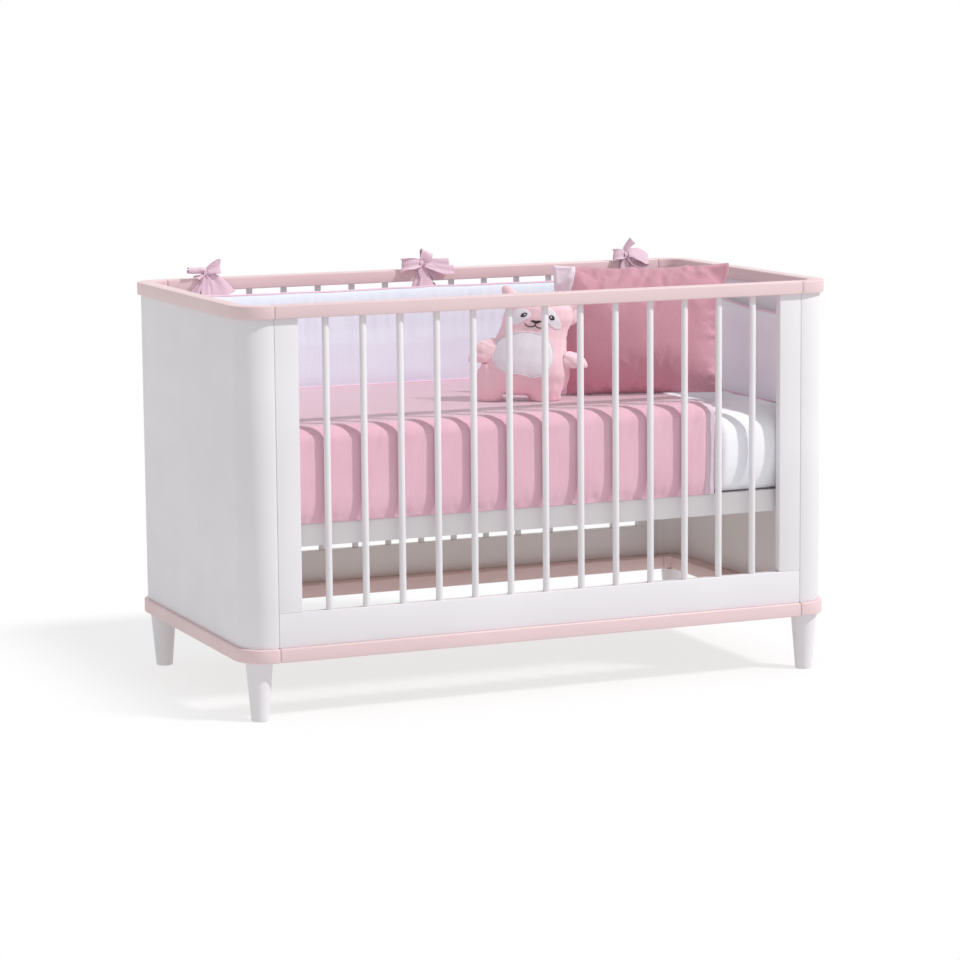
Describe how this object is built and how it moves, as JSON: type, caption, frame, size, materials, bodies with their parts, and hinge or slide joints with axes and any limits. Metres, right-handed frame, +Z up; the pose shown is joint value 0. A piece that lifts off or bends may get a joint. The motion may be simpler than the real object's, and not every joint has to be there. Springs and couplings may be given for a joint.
{
  "type": "toddler bed",
  "caption": "Toddler bed with slatted long sides, bent end panels, pink top rail and plinth on turned legs, height-adjustable base and dressed bedding.",
  "frame": {"origin": "on the floor, under the middle of the bed", "axes": "+X along the bed to the right-hand end as the picture shows it, +Y from the front side to the back side, +Z up"},
  "size_m": [1.3, 0.7096, 0.8483],
  "materials": {
    "pink_lacquer": "satin pale pink lacquer on wood",
    "white_lacquer": "satin white lacquer on wood",
    "base_white": "matt white melamine with thin edges",
    "plywood": "clear-sealed birch plywood",
    "white_cotton": "plain white cotton sheet",
    "pink_linen": "rose linen-cotton with a fine slub weave",
    "lilac_cotton": "padded white cotton with pink piping",
    "check_cotton": "fine pink and white checked cotton",
    "toy_cotton": "rose cotton with white applique"
  },
  "bodies": {
    "bed_frame": {"plinth_left_end": "pink_lacquer", "plinth_right_end": "pink_lacquer", "plinth_front_rail": "pink_lacquer", "plinth_back_rail": "pink_lacquer", "top_rail_left_end": "pink_lacquer", "top_rail_right_end": "pink_lacquer", "top_rail_front": "pink_lacquer", "top_rail_back": "pink_lacquer", "leg_front_left": "white_lacquer", "leg_back_left": "white_lacquer", "leg_front_right": "white_lacquer", "leg_back_right": "white_lacquer", "end_panel_left": "white_lacquer", "end_panel_right": "white_lacquer", "lower_board_front": "white_lacquer", "lower_board_back": "white_lacquer", "stile_front_left": "white_lacquer", "stile_front_right": "white_lacquer", "stile_back_left": "white_lacquer", "stile_back_right": "white_lacquer", "slat_front_1": "white_lacquer", "slat_front_2": "white_lacquer", "slat_front_3": "white_lacquer", "slat_front_4": "white_lacquer", "slat_front_5": "white_lacquer", "slat_front_6": "white_lacquer", "slat_front_7": "white_lacquer", "slat_front_8": "white_lacquer", "slat_front_9": "white_lacquer", "slat_front_10": "white_lacquer", "slat_front_11": "white_lacquer", "slat_front_12": "white_lacquer", "slat_front_13": "white_lacquer", "slat_back_1": "white_lacquer", "slat_back_2": "white_lacquer", "slat_back_3": "white_lacquer", "slat_back_4": "white_lacquer", "slat_back_5": "white_lacquer", "slat_back_6": "white_lacquer", "slat_back_7": "white_lacquer", "slat_back_8": "white_lacquer", "slat_back_9": "white_lacquer", "slat_back_10": "white_lacquer", "slat_back_11": "white_lacquer", "slat_back_12": "white_lacquer", "slat_back_13": "white_lacquer", "bumper": "lilac_cotton", "tie_bow_left": "check_cotton", "tie_bow_middle": "check_cotton", "tie_bow_right": "check_cotton"},
    "mattress_base": {"base_frame": "base_white", "base_deck": "plywood", "mattress": "white_cotton", "coverlet": "pink_linen", "cushion": "pink_linen", "toy_body": "toy_cotton", "toy_leg_left": "toy_cotton", "toy_leg_right": "toy_cotton", "toy_arm_left": "toy_cotton", "toy_arm_right": "toy_cotton"}
  },
  "joints": [
    {"name": "base_height", "type": "slide", "parent": "bed_frame", "child": "mattress_base", "axis": [0, 0, 1], "range_m": [-0.18, 0]}
  ]
}
